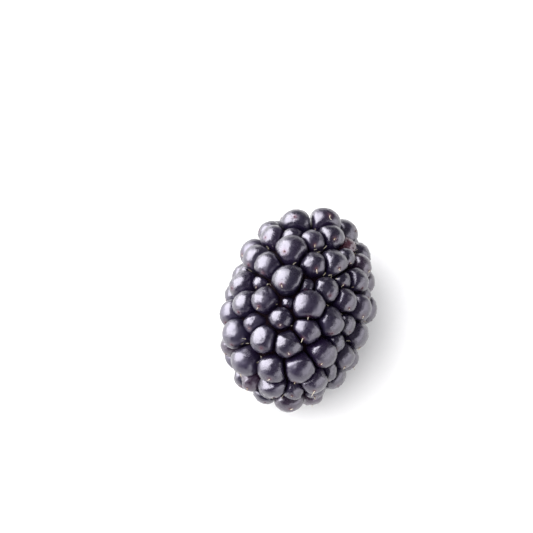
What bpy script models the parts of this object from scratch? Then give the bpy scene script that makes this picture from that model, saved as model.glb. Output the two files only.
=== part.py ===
"""A ripe bramble berry, picked and lying on its side on a flat surface.

Frame: metres, +Z up. The berry's axis runs along Y, with its tip towards -Y and its stem end
towards +Y. The origin is on the surface, under the middle of the berry's box.

Two nodes:
  drupelets       the juicy beads, fused to each other and to the receptacle that they grow on
  receptacle_end  the pale end of the receptacle, bared where the berry came off its calyx
"""

import math

import bmesh
import bpy
import numpy as np
from mathutils import Vector

# --- Driving dimensions, in metres ---------------------------------------------------------------
BERRY_WIDTH = 0.0239  # over the drupelets
BERRY_LENGTH = 0.0320
SIDE_CROWN = 0.00255  # how far the drupelets stand out of the seat on the berry's sides
END_CROWN = 0.00130  # and at its ends, where they lie closer
DRUPELET_COUNT = 108
DRUPELET_RADIUS = 0.00206  # half the spacing of middling ones, along the berry's surface
DRUPELET_STRETCH = 1.05  # how much further one stands outwards than it is wide
SEAT_ROUNDNESS = 2.12  # exponent of the seat's outline: 2 is an ellipse, more is squarer
TIP_SWELL = 0.06  # how much wider the tip's half is than the stem's half
TIP_ASIDE = -0.0015  # the berry grew a little crooked: how far its tip lies towards +X
BEND_MIDDLE = -0.0025  # where along the axis it bends most
BEND_LENGTH = 0.0050  # and how slowly

RUNT_SHARE = 0.14  # drupelets that set badly and stayed small
RUNT_SCALE = (0.62, 0.80)
FULL_SCALE = (0.90, 1.12)
RUNT_SINK = 0.5  # share of its missing radius that a small drupelet lies deeper
LAYOUT_SEED = 7
LAYOUT_JITTER = 0.0004

# The drupelets of the upper side and the tip, placed one by one: degrees round the axis from the
# top towards +X, millimetres along it towards the stem, and the width that shows in millimetres.
PLACED_DRUPELETS = (
    (-20, 11.3, 3.9), (26, 9.2, 3.5), (52, 9.2, 2.6), (-43, 8.5, 3.5), (4, 7.5, 3.2), (69, 6.5, 3.5),
    (-14, 5, 4.3), (27, 4, 3.7), (8, 3, 3.4), (-35, 2.5, 3.7), (40, 2, 2.5), (80, 2.5, 2.8),
    (-44, 0, 2.1), (-12, -0.5, 4.3), (4, -1, 2.3), (22, -1, 3.5), (44, -1.5, 3.5),
    (-33, -3.5, 3.5), (-11, -4, 1.8), (8, -4.5, 4.7), (54, -5, 3.1), (31, -6, 4.1),
    (-45, -6.5, 2.7), (-16, -6.5, 3.1), (-92, -7, 3.3), (10, -8, 3.7), (50, -8.5, 2.9),
    (-34, -9.2, 3.5), (-8, -10.2, 3.7), (-67, -10.8, 3.8), (35, -10.8, 4.0), (-33, -13, 3.7),
    (9, -13, 4.1), (-95, -12.5, 3.1), (72, -12.5, 2.9), (-54, -14.4, 3.6), (51, -14, 3.8),
    (-170, -14.8, 3.9), (-130, -13.4, 3.3), (144, -13.4, 3.7),
)  # fmt: skip
CELL_SHARE = 1.10  # a drupelet's cell on the seat is this much wider than what shows of it

SETTLE_ROUNDS = 300
SETTLE_STEP = 0.35  # share of an overlap that each round takes away
PRESSING = 1.06  # spacing at which two neighbours start to push, in touching radii
CROWDED_OUT = 0.70  # a free drupelet with less room than this grows in the widest gap instead
PLACES_TRIED = 3000  # points of the seat that are tried when a gap is looked for
WIDEST_GAP = 0.0008  # a gap with more room than this between drupelets gets one more
GAP_FILL = 0.0005  # and that drupelet is this much larger than the gap's room
BARE_MARGIN = 0.0013  # none of them starts closer than this to the bared stem end

AXIS_HEIGHT = 0.0114  # the berry's axis over the surface, a little less than half its width
REST_LEVEL = 0.90  # a resting drupelet's centre is this many of its radii up

RECEPTACLE_END_RADIUS = 0.0031
RECEPTACLE_END_DEPTH = 0.0032
RECEPTACLE_END_SINK = 0.0010  # how far its rim lies inside the seat's end
RECEPTACLE_END_DISH = 0.0006  # how deep its middle is sunk
CLEARANCE = 0.0003

PLUMPNESS = 1.28  # a free drupelet's radius, in its cell's: more presses its sides flatter
PRESS_SHARPNESS = 10.0  # higher makes flatter contact faces with tighter edges
CONTACT_OVERLAP = 0.00012  # how far neighbours sink into each other, so that they fuse
TIPWARD_LEAN = 0.25  # slope of a drupelet's crown towards the tip
CORE_LIFT = 0.00050  # the receptacle's surface lies this far outside the drupelets' centres

DRUPELET_SIDES = 9
DRUPELET_RINGS = 7
SMALL_RADIUS = 0.0018  # drupelets smaller than this have fewer faces
SMALL_SIDES = 8
SMALL_RINGS = 6
CORE_SIDES = 16
CORE_RINGS = 12
TURNED_SIDES = 24

GOLDEN_ANGLE = math.pi * (3 - math.sqrt(5))
SEAT_WIDE = BERRY_WIDTH / 2 - SIDE_CROWN
SEAT_LONG = BERRY_LENGTH / 2 - END_CROWN


# --- Where the drupelets sit: their centres lie on the seat, a smooth egg about the axis ----------
def seat_level(points, lift=0.0):
    """1 where points lie on the seat grown by lift, less inside it and more outside it."""
    swell = 1 - TIP_SWELL * points[:, 1] / SEAT_LONG
    across = np.hypot(points[:, 0], points[:, 2]) / ((SEAT_WIDE + lift) * swell)
    along = np.abs(points[:, 1]) / (SEAT_LONG + lift)
    return (across**SEAT_ROUNDNESS + along**SEAT_ROUNDNESS) ** (1 / SEAT_ROUNDNESS)


def onto_seat(points, lift=0.0):
    """The points moved towards or away from the berry's middle until they lie on the seat."""
    for _ in range(3):
        points = points / seat_level(points, lift)[:, None]
    return points


def aside(points):
    """How far the berry's bend moves each point towards +X."""
    share = (1 - np.tanh((points[:, 1] - BEND_MIDDLE) / BEND_LENGTH)) / 2
    return TIP_ASIDE * share[:, None] * np.array([1, 0, 0])


def outward(points):
    """The seat's outward direction at each point."""
    step = 1e-5
    slope = np.stack(
        [seat_level(points + step * axis) - seat_level(points - step * axis) for axis in np.eye(3)],
        axis=1,
    )
    return slope / np.linalg.norm(slope, axis=1)[:, None]


def spiral_start():
    """Centres on a golden-angle spiral, as the drupelets set in the flower, and seeded radii."""
    random = np.random.default_rng(LAYOUT_SEED)
    scale = random.uniform(*FULL_SCALE, DRUPELET_COUNT)
    runts = random.random(DRUPELET_COUNT) < RUNT_SHARE
    scale[runts] = random.uniform(*RUNT_SCALE, runts.sum())
    jitter = random.normal(0, LAYOUT_JITTER, (DRUPELET_COUNT, 3))
    along = 2 * (np.arange(DRUPELET_COUNT) + 0.5) / DRUPELET_COUNT - 1
    turn = GOLDEN_ANGLE * np.arange(DRUPELET_COUNT)
    around = np.sqrt(1 - along**2)
    spiral = np.stack([around * np.cos(turn), along, around * np.sin(turn)], axis=1)
    return onto_seat(spiral * SEAT_LONG + jitter), DRUPELET_RADIUS * scale


def placed_side():
    """Centres and radii of the drupelets that are placed one by one."""
    degrees, millimetres, widths = np.array(PLACED_DRUPELETS).T
    turn = np.radians(degrees)
    along = millimetres / 1000 * SEAT_LONG / (SEAT_LONG + CORE_LIFT)
    middle = np.stack([np.sin(turn), np.zeros(len(turn)), np.cos(turn)], axis=1)
    share = (1 - (np.abs(along) / SEAT_LONG) ** SEAT_ROUNDNESS) ** (1 / SEAT_ROUNDNESS)
    across = SEAT_WIDE * (1 - TIP_SWELL * along / SEAT_LONG) * share
    centres = middle * across[:, None] + np.array([0, 1, 0]) * along[:, None]
    return onto_seat(centres - aside(centres)), CELL_SHARE * widths / 2000


def settle(centres, radii, placed):
    """Pushes overlapping neighbours apart along the seat, and off the bared stem end."""
    count = len(radii)
    reach = (radii[:, None] + radii[None, :]) * PRESSING
    bare = RECEPTACLE_END_RADIUS + CLEARANCE + radii
    loose = np.where(placed, 0.0, 1.0)
    for _ in range(SETTLE_ROUNDS):
        apart = centres[:, None] - centres[None, :]
        distance = np.linalg.norm(apart, axis=2) + np.eye(count)
        overlap = np.clip(reach - distance, 0, None) * (1 - np.eye(count))
        push = (apart / distance[:, :, None] * overlap[:, :, None]).sum(axis=1)
        centres = onto_seat(centres + SETTLE_STEP * push * loose[:, None])
        from_axis = np.hypot(centres[:, 0], centres[:, 2])
        on_stem_end = (centres[:, 1] > 0) & (from_axis < bare)
        widen = np.where(on_stem_end, bare / from_axis, 1.0)
        centres = onto_seat(centres * np.stack([widen, np.ones(count), widen], axis=1))
    return centres


def room_left(centres, radii, placed):
    """Each free drupelet's distance to its closest neighbour, in their touching radii."""
    apart = np.linalg.norm(centres[:, None] - centres[None, :], axis=2)
    room = apart / (radii[:, None] + radii[None, :])
    np.fill_diagonal(room, np.inf)
    return np.where(placed, np.inf, room.min(axis=1))


def emptiest_place(centres, radii):
    """The point of the seat that is farthest from every drupelet, and how much room it has."""
    along = 2 * (np.arange(PLACES_TRIED) + 0.5) / PLACES_TRIED - 1
    turn = GOLDEN_ANGLE * np.arange(PLACES_TRIED)
    around = np.sqrt(1 - along**2)
    spiral = np.stack([around * np.cos(turn), along, around * np.sin(turn)], axis=1)
    places = onto_seat(spiral * SEAT_LONG)
    room = (np.linalg.norm(places[:, None] - centres[None, :], axis=2) - radii).min(axis=1)
    from_axis = np.hypot(places[:, 0], places[:, 2])
    room[(places[:, 1] > 0) & (from_axis < BARE_MARGIN + RECEPTACLE_END_RADIUS)] = 0
    best = int(np.argmax(room))
    return places[best], room[best]


def settled_drupelets():
    """Centres, radii and crown directions, in a frame whose origin is the middle of the berry."""
    centres, radii = spiral_start()
    placed = np.zeros(len(radii), bool)
    for centre, radius in zip(*placed_side()):
        distance = np.linalg.norm(centres - centre, axis=1) + placed
        nearest = int(np.argmin(distance))
        centres[nearest], radii[nearest], placed[nearest] = centre, radius, True
    centres = settle(centres, radii, placed)
    while room_left(centres, radii, placed).min() < CROWDED_OUT:
        crowded = int(np.argmin(room_left(centres, radii, placed)))
        others = np.arange(len(radii)) != crowded
        place, room = emptiest_place(centres[others], radii[others])
        centres[crowded], radii[crowded] = place, min(radii[crowded], room + GAP_FILL)
    place, room = emptiest_place(centres, radii)
    while room > WIDEST_GAP:
        centres = np.vstack([centres, place])
        radii = np.append(radii, room + GAP_FILL)
        placed = np.append(placed, False)
        place, room = emptiest_place(centres, radii)
    centres = settle(centres, radii, placed)

    straight_out = outward(centres)
    sink = RUNT_SINK * (DRUPELET_RADIUS - radii).clip(0)
    crowns = straight_out - np.array([0, TIPWARD_LEAN, 0])
    crowns /= np.linalg.norm(crowns, axis=1)[:, None]
    return centres - straight_out * sink[:, None] + aside(centres), radii, crowns


def resting_drupelets():
    """The same in the part's frame, with those underneath pushed up by the surface they lie on."""
    centres, radii, crowns = settled_drupelets()
    centres = centres + np.array([0, 0, AXIS_HEIGHT])
    centres[:, 2] = np.maximum(centres[:, 2], REST_LEVEL * radii)
    return centres, radii, crowns


# --- The shape of one drupelet -------------------------------------------------------------------
def pressed_reach(directions, index, centres, radii, crowns):
    """How far the drupelet's skin is from its centre in each direction.

    Alone it would be a stretched ball. Each neighbour cuts it short at the plane where the two
    meet, and the power mean rounds the edges between the ball and those planes.
    """
    upward = directions @ crowns[index]
    ball = PLUMPNESS * radii[index] / np.sqrt((1 - upward**2) + (upward / DRUPELET_STRETCH) ** 2)
    shortness = ball**-PRESS_SHARPNESS
    apart = centres - centres[index]
    distance = np.linalg.norm(apart, axis=1)
    near = (distance > 0) & (distance < 1.6 * (radii + radii[index]))
    for offset, gap, radius in zip(apart[near], distance[near], radii[near]):
        plane = gap * radii[index] / (radii[index] + radius) + CONTACT_OVERLAP
        facing = np.clip(directions @ (offset / gap), 0, None)
        shortness = shortness + (facing / plane) ** PRESS_SHARPNESS
    return shortness ** (-1 / PRESS_SHARPNESS)


# --- Blender helpers -----------------------------------------------------------------------------
def clear_scene():
    for old in list(bpy.data.objects):
        bpy.data.objects.remove(old)


def new_collection(name):
    collection = bpy.data.collections.new(name)
    bpy.context.scene.collection.children.link(collection)
    return collection


def add_object(name, mesh, collection):
    made = bpy.data.objects.new(name, mesh)
    collection.objects.link(made)
    return made


def add_cutter(name, mesh, collection):
    made = add_object(name, mesh, collection)
    made.hide_render = True
    made.display_type = "WIRE"
    return made


def skin_material(name, colour, roughness):
    material = bpy.data.materials.new(name)
    material.use_nodes = True
    shader = material.node_tree.nodes["Principled BSDF"]
    shader.inputs["Base Color"].default_value = (*colour, 1)
    shader.inputs["Roughness"].default_value = roughness
    shader.inputs["Metallic"].default_value = 0.0
    return material


def ball_mesh(name, sides, rings):
    """A ball of radius 1 about the origin, with its poles on Z."""
    shape = bmesh.new()
    bmesh.ops.create_uvsphere(shape, u_segments=sides, v_segments=rings, radius=1.0)
    mesh = bpy.data.meshes.new(name)
    shape.to_mesh(mesh)
    shape.free()
    return mesh


def points_of(mesh):
    points = np.empty(len(mesh.vertices) * 3, np.float32)
    mesh.vertices.foreach_get("co", points)
    return points.reshape(-1, 3).astype(float)


def set_points(mesh, points):
    mesh.vertices.foreach_set("co", points.astype(np.float32).ravel())
    mesh.update()


def add_boolean(target, operation, operand):
    modifier = target.modifiers.new(operation.lower(), "BOOLEAN")
    modifier.operation = operation
    modifier.solver = "EXACT"
    if isinstance(operand, bpy.types.Collection):
        modifier.operand_type = "COLLECTION"
        modifier.collection = operand
    else:
        modifier.object = operand


def apply_modifiers(target):
    """Replaces the object's mesh by the evaluated one, with its modifiers gone."""
    graph = bpy.context.evaluated_depsgraph_get()
    done = bpy.data.meshes.new_from_object(target.evaluated_get(graph))
    target.modifiers.clear()
    target.data = done


def lay_along_axis(turned):
    """Turns a solid that was made about Z until its top faces the stem end, on the berry's axis."""
    turned.location = (0, 0, AXIS_HEIGHT)
    turned.rotation_euler = (-math.pi / 2, 0, 0)


def add_screw(target):
    """Spins a profile at +X, which runs from the top down its outer side, round Z."""
    screw = target.modifiers.new("turned", "SCREW")
    screw.axis = "Z"
    screw.angle = 2 * math.pi
    screw.steps = TURNED_SIDES
    screw.render_steps = TURNED_SIDES
    screw.use_merge_vertices = True
    screw.merge_threshold = 0.00001


def profile_mesh(name, profile):
    """An open line through the profile's (radius, height) points."""
    mesh = bpy.data.meshes.new(name)
    points = [(radius, 0, height) for radius, height in profile]
    mesh.from_pydata(points, [(row, row + 1) for row in range(len(points) - 1)], [])
    return mesh


# --- The pieces ----------------------------------------------------------------------------------
def make_core(collection):
    """The receptacle that the drupelets grow on, hidden under them."""
    mesh = ball_mesh("receptacle", CORE_SIDES, CORE_RINGS)
    unit = points_of(mesh)
    along_axis = np.stack([unit[:, 0], unit[:, 2], -unit[:, 1]], axis=1)
    grown = onto_seat(along_axis * SEAT_LONG, CORE_LIFT)
    set_points(mesh, grown + aside(grown) + np.array([0, 0, AXIS_HEIGHT]))
    return add_object("drupelets", mesh, collection)


def make_drupelet(index, centres, radii, crowns, collection):
    name = f"drupelet_{index:03d}"
    small = radii[index] < SMALL_RADIUS
    sides, rings = (SMALL_SIDES, SMALL_RINGS) if small else (DRUPELET_SIDES, DRUPELET_RINGS)
    mesh = ball_mesh(name, sides, rings)
    turn = Vector(crowns[index]).to_track_quat("Z", "Y").to_matrix()
    directions = points_of(mesh) @ np.array(turn).T
    directions /= np.linalg.norm(directions, axis=1)[:, None]
    reach = pressed_reach(directions, index, centres, radii, crowns)
    set_points(mesh, centres[index] + directions * reach[:, None])
    add_object(name, mesh, collection)


def make_receptacle_end(collection):
    """A short turned plug with a rounded rim, a dished face and a tapering root."""
    rim = SEAT_LONG - RECEPTACLE_END_SINK
    wide = RECEPTACLE_END_RADIUS
    profile = (
        (0.0, rim - RECEPTACLE_END_DISH),
        (0.25 * wide, rim - 0.8 * RECEPTACLE_END_DISH),
        (0.5 * wide, rim - 0.1 * RECEPTACLE_END_DISH),
        (0.75 * wide, rim),
        (0.93 * wide, rim - 0.3 * RECEPTACLE_END_DISH),
        (wide, rim - RECEPTACLE_END_DISH),
        (0.94 * wide, rim - 0.5 * RECEPTACLE_END_DEPTH),
        (0.62 * wide, rim - RECEPTACLE_END_DEPTH),
        (0.0, rim - RECEPTACLE_END_DEPTH),
    )
    made = add_object("receptacle_end", profile_mesh("receptacle_end", profile), collection)
    add_screw(made)
    lay_along_axis(made)
    return made


def make_pocket_cutter(collection):
    """The plug's space with the clearance round it, open towards the stem end."""
    rim = SEAT_LONG - RECEPTACLE_END_SINK
    wide = RECEPTACLE_END_RADIUS + CLEARANCE
    root = rim - RECEPTACLE_END_DEPTH - CLEARANCE
    profile = (
        (0.0, BERRY_LENGTH),
        (wide, BERRY_LENGTH),
        (wide, rim - 0.5 * RECEPTACLE_END_DEPTH),
        (0.64 * RECEPTACLE_END_RADIUS + CLEARANCE, root),
        (0.0, root),
    )
    made = add_cutter("pocket_cutter", profile_mesh("pocket_cutter", profile), collection)
    add_screw(made)
    lay_along_axis(made)
    return made


def make_surface_cutter(collection):
    """A block under the surface that the berry lies on, which flattens the drupelets on it."""
    size = 2 * BERRY_LENGTH
    shape = bmesh.new()
    bmesh.ops.create_cube(shape, size=size)
    mesh = bpy.data.meshes.new("surface_cutter")
    shape.to_mesh(mesh)
    shape.free()
    made = add_cutter("surface_cutter", mesh, collection)
    made.location = (0, 0, -size / 2)
    return made


def fuse_drupelets(core):
    """Joins every drupelet to the core and to its neighbours in one solid."""
    beads = new_collection("loose_drupelets")
    layout = resting_drupelets()
    for index in range(len(layout[0])):
        make_drupelet(index, *layout, beads)
    add_boolean(core, "UNION", beads)
    apply_modifiers(core)
    for bead in list(beads.objects):
        bpy.data.objects.remove(bead)
    bpy.data.collections.remove(beads)


def centre_on_origin(main_piece, objects):
    """Moves the objects so that the middle of the main piece's box is over the origin."""
    points = points_of(main_piece.data)
    middle = (points.min(axis=0) + points.max(axis=0)) / 2
    for item in objects:
        item.location.x -= middle[0]
        item.location.y -= middle[1]


def main():
    clear_scene()
    berry = new_collection("bramble_berry")
    cutters = new_collection("cutters")

    drupelets = make_core(berry)
    fuse_drupelets(drupelets)
    pocket_cutter = make_pocket_cutter(cutters)
    surface_cutter = make_surface_cutter(cutters)
    add_boolean(drupelets, "DIFFERENCE", pocket_cutter)
    add_boolean(drupelets, "DIFFERENCE", surface_cutter)
    apply_modifiers(drupelets)
    receptacle_end = make_receptacle_end(berry)
    centre_on_origin(drupelets, [drupelets, receptacle_end])

    drupelets.data.materials.clear()
    drupelets.data.materials.append(skin_material("drupelet_skin", (0.012, 0.009, 0.016), 0.32))
    receptacle_end.data.materials.append(skin_material("receptacle_flesh", (0.62, 0.60, 0.38), 0.6))


main()
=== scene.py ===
# %% [markdown]
# # A ripe bramble berry
#
# A bramble berry is not one smooth fruit. It is a crowd of small ones, the drupelets, which sit on a
# pale receptacle and press each other out of round as they swell. This lesson loads the berry's
# construction model as a fixed frame and then grows a fine skin over it: drupelets from Geometry
# Nodes, the withered styles that cling to them, the bared receptacle at the stem end, and
# materials that are built from nodes alone.

import math

import bmesh
import bpy
import numpy as np
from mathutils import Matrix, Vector
from mathutils.bvhtree import BVHTree


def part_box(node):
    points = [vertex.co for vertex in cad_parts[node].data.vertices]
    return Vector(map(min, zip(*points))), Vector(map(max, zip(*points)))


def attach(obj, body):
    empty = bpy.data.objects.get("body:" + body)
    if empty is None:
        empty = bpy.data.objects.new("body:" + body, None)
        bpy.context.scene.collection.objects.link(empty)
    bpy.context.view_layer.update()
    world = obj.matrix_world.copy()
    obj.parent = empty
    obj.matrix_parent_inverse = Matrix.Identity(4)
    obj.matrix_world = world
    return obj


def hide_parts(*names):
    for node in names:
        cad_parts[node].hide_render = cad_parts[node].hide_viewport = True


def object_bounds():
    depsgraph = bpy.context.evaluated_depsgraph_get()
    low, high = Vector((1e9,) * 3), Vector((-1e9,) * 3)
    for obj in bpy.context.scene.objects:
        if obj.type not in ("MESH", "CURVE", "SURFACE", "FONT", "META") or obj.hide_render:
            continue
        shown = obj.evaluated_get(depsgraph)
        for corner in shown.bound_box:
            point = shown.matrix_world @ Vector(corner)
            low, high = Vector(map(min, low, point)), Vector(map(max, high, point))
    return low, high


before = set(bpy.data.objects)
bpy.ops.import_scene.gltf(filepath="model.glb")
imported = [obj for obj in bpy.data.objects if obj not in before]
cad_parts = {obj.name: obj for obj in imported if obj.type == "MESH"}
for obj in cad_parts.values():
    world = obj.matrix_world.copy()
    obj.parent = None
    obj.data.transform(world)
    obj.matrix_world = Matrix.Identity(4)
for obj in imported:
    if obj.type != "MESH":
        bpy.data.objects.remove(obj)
cad_low, cad_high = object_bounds()
print("box in mm:", [round(1000 * side, 1) for side in cad_high - cad_low])

# %% [markdown]
# ## A wire that does maths
#
# Node trees are easier to read as expressions than as lists of links. `Graph.add` makes any node:
# it takes the node's type, its settings and what goes into its sockets. `Wire` wraps an output
# socket and overloads the operators, so that `1 - mask * 0.5` adds its own Math nodes. Vectors
# and colours take Vector Math and Mix nodes instead, because a Math node would turn them grey.
# The same two classes serve Geometry Nodes and shaders.


# %% Graph and Wire
class Graph:
    """Adds nodes to one tree."""

    def __init__(self, tree):
        self.tree = tree
        tree.nodes.clear()

    def add(self, kind, settings=None, inputs=None, output=0):
        node = self.tree.nodes.new(kind)
        for name, value in (settings or {}).items():
            if name == "stops":
                set_stops(node.color_ramp, value)
            else:
                setattr(node, name, value)
        self.feed(node, inputs or {})
        return Wire(self, node.outputs[output] if len(node.outputs) else None, node)

    def feed(self, node, inputs):
        """Links or sets a node's sockets, which are given by name or by number."""
        for name, value in inputs.items():
            if isinstance(value, Wire):
                self.tree.links.new(value.socket, node.inputs[name])
            else:
                node.inputs[name].default_value = value


def set_stops(ramp, stops):
    """Gives a colour ramp its (position, colour) stops."""
    while len(ramp.elements) > 1:
        ramp.elements.remove(ramp.elements[-1])
    for number, (position, colour) in enumerate(stops):
        stop = ramp.elements[0] if number == 0 else ramp.elements.new(position)
        stop.position = position
        stop.color = colour


class Wire:
    """An output socket that can be used in an expression."""

    def __init__(self, graph, socket, node=None):
        self.graph = graph
        self.socket = socket
        self.node = node

    def out(self, name):
        return Wire(self.graph, self.node.outputs[name], self.node)

    @property
    def is_vector(self):
        return self.socket.type in {"VECTOR", "RGBA"}

    def math(self, operation, *values):
        inputs = dict(enumerate(values))
        return self.graph.add("ShaderNodeMath", {"operation": operation}, inputs)

    def vector_math(self, operation, *values, output=0):
        inputs = dict(enumerate(values))
        return self.graph.add("ShaderNodeVectorMath", {"operation": operation}, inputs, output)

    def combine(self, operation, first, second):
        """One operator, by Vector Math if either side is a vector and by Math if both are numbers."""
        vectors = [isinstance(side, Wire) and side.is_vector for side in (first, second)]
        if not any(vectors):
            return self.math(operation, first, second)
        if operation == "MULTIPLY" and not all(vectors):
            vector, number = (first, second) if vectors[0] else (second, first)
            scaled = self.graph.add("ShaderNodeVectorMath", {"operation": "SCALE"}, {0: vector})
            self.graph.feed(scaled.node, {"Scale": number})
            return scaled
        return self.vector_math(operation, first, second)

    def __add__(self, other):
        return self.combine("ADD", self, other)

    def __radd__(self, other):
        return self.combine("ADD", other, self)

    def __sub__(self, other):
        return self.combine("SUBTRACT", self, other)

    def __rsub__(self, other):
        return self.combine("SUBTRACT", other, self)

    def __mul__(self, other):
        return self.combine("MULTIPLY", self, other)

    def __rmul__(self, other):
        return self.combine("MULTIPLY", other, self)

    def __truediv__(self, other):
        return self.math("DIVIDE", self, other)

    def __rtruediv__(self, other):
        return self.math("DIVIDE", other, self)

    def __pow__(self, other):
        return self.math("POWER", self, other)

    def dot(self, other):
        return self.vector_math("DOT_PRODUCT", self, other, output="Value")

    def length(self):
        return self.vector_math("LENGTH", self, output="Value")

    def unit(self):
        return self.vector_math("NORMALIZE", self)

    def smooth(self, start, end):
        """0 below start and 1 above end, with a soft step between them."""
        settings = {"interpolation_type": "SMOOTHSTEP"}
        return self.graph.add(
            "ShaderNodeMapRange", settings, {"Value": self, "From Min": start, "From Max": end}
        )

    def mix(self, first, second):
        """Blends two colours by this wire, from first at 0 to second at 1."""
        factor, colour_a, colour_b, colour_out = 0, 6, 7, 2
        inputs = {factor: self, colour_a: first, colour_b: second}
        return self.graph.add("ShaderNodeMix", {"data_type": "RGBA"}, inputs, colour_out)


# %% [markdown]
# ## Where the drupelets sit
#
# The construction model places most of its drupelets by a rule, and 40 from a list. This cell
# repeats both in metres, so that each fine drupelet lands on its coarse one. The centres lie on the
# seat, a smooth egg about the berry's axis. They start on a golden-angle spiral, as they set in the
# flower. Then 40 of them, on the upper side and the tip, take the measured and rounded places and
# widths of PLACED_DRUPELETS, and the rest push each other apart until they just touch. One that is
# crowded out moves to the emptiest place, and the gaps that are left are filled. Last, the berry is
# bent a little aside towards its tip. A physics simulation could settle them too, but this plain
# relaxation is quicker and gives the same layout each run.

# %% Driving dimensions, as in the construction model
BERRY_WIDTH = 0.0239
BERRY_LENGTH = 0.0320
SIDE_CROWN = 0.00255
END_CROWN = 0.00130
DRUPELET_COUNT = 108
DRUPELET_RADIUS = 0.00206
DRUPELET_STRETCH = 1.05
SEAT_ROUNDNESS = 2.12
TIP_SWELL = 0.06
TIP_ASIDE = -0.0015
BEND_MIDDLE = -0.0025
BEND_LENGTH = 0.0050
RUNT_SHARE = 0.14
RUNT_SCALE = (0.62, 0.80)
FULL_SCALE = (0.90, 1.12)
RUNT_SINK = 0.5
LAYOUT_SEED = 7
LAYOUT_JITTER = 0.0004
PLACED_DRUPELETS = (
    (-20, 11.3, 3.9), (26, 9.2, 3.5), (52, 9.2, 2.6), (-43, 8.5, 3.5), (4, 7.5, 3.2), (69, 6.5, 3.5),
    (-14, 5, 4.3), (27, 4, 3.7), (8, 3, 3.4), (-35, 2.5, 3.7), (40, 2, 2.5), (80, 2.5, 2.8),
    (-44, 0, 2.1), (-12, -0.5, 4.3), (4, -1, 2.3), (22, -1, 3.5), (44, -1.5, 3.5),
    (-33, -3.5, 3.5), (-11, -4, 1.8), (8, -4.5, 4.7), (54, -5, 3.1), (31, -6, 4.1),
    (-45, -6.5, 2.7), (-16, -6.5, 3.1), (-92, -7, 3.3), (10, -8, 3.7), (50, -8.5, 2.9),
    (-34, -9.2, 3.5), (-8, -10.2, 3.7), (-67, -10.8, 3.8), (35, -10.8, 4.0), (-33, -13, 3.7),
    (9, -13, 4.1), (-95, -12.5, 3.1), (72, -12.5, 2.9), (-54, -14.4, 3.6), (51, -14, 3.8),
    (-170, -14.8, 3.9), (-130, -13.4, 3.3), (144, -13.4, 3.7),
)  # fmt: skip
CELL_SHARE = 1.10
SETTLE_ROUNDS = 300
SETTLE_STEP = 0.35
PRESSING = 1.06
CROWDED_OUT = 0.70
PLACES_TRIED = 3000
WIDEST_GAP = 0.0008
GAP_FILL = 0.0005
BARE_MARGIN = 0.0013
REST_LEVEL = 0.90
RECEPTACLE_END_RADIUS = 0.0031
RECEPTACLE_END_SINK = 0.0010
CLEARANCE = 0.0003
PLUMPNESS = 1.28
PRESS_SHARPNESS = 10.0
TIPWARD_LEAN = 0.25
CORE_LIFT = 0.00050
GOLDEN_ANGLE = math.pi * (3 - math.sqrt(5))
SEAT_WIDE = BERRY_WIDTH / 2 - SIDE_CROWN
SEAT_LONG = BERRY_LENGTH / 2 - END_CROWN


# %% The seat
def seat_level(points, lift=0.0):
    """1 where points lie on the seat grown by lift, less inside it and more outside it."""
    swell = 1 - TIP_SWELL * points[:, 1] / SEAT_LONG
    across = np.hypot(points[:, 0], points[:, 2]) / ((SEAT_WIDE + lift) * swell)
    along = np.abs(points[:, 1]) / (SEAT_LONG + lift)
    return (across**SEAT_ROUNDNESS + along**SEAT_ROUNDNESS) ** (1 / SEAT_ROUNDNESS)


def onto_seat(points, lift=0.0):
    for _ in range(3):
        points = points / seat_level(points, lift)[:, None]
    return points


def aside(points):
    """How far the berry's bend moves each point towards +X."""
    share = (1 - np.tanh((points[:, 1] - BEND_MIDDLE) / BEND_LENGTH)) / 2
    return TIP_ASIDE * share[:, None] * np.array([1, 0, 0])


def outward(points):
    """The seat's outward direction at each point."""
    step = 1e-5
    slope = np.stack(
        [seat_level(points + step * axis) - seat_level(points - step * axis) for axis in np.eye(3)],
        axis=1,
    )
    return slope / np.linalg.norm(slope, axis=1)[:, None]


# %% Start, settle and fill the gaps
def golden_spiral(count):
    """Points spread evenly over a ball of radius 1, each a golden angle further round the axis."""
    along = 2 * (np.arange(count) + 0.5) / count - 1
    turn = GOLDEN_ANGLE * np.arange(count)
    around = np.sqrt(1 - along**2)
    return np.stack([around * np.cos(turn), along, around * np.sin(turn)], axis=1)


def spiral_start():
    random = np.random.default_rng(LAYOUT_SEED)
    scale = random.uniform(*FULL_SCALE, DRUPELET_COUNT)
    runts = random.random(DRUPELET_COUNT) < RUNT_SHARE
    scale[runts] = random.uniform(*RUNT_SCALE, runts.sum())
    jitter = random.normal(0, LAYOUT_JITTER, (DRUPELET_COUNT, 3))
    spiral = golden_spiral(DRUPELET_COUNT) * SEAT_LONG
    return onto_seat(spiral + jitter), DRUPELET_RADIUS * scale


def placed_side():
    """Centres and radii of the drupelets whose measured places are listed."""
    degrees, millimetres, widths = np.array(PLACED_DRUPELETS).T
    turn = np.radians(degrees)
    along = millimetres / 1000 * SEAT_LONG / (SEAT_LONG + CORE_LIFT)
    middle = np.stack([np.sin(turn), np.zeros(len(turn)), np.cos(turn)], axis=1)
    share = (1 - (np.abs(along) / SEAT_LONG) ** SEAT_ROUNDNESS) ** (1 / SEAT_ROUNDNESS)
    across = SEAT_WIDE * (1 - TIP_SWELL * along / SEAT_LONG) * share
    centres = middle * across[:, None] + np.array([0, 1, 0]) * along[:, None]
    return onto_seat(centres - aside(centres)), CELL_SHARE * widths / 2000


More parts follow.
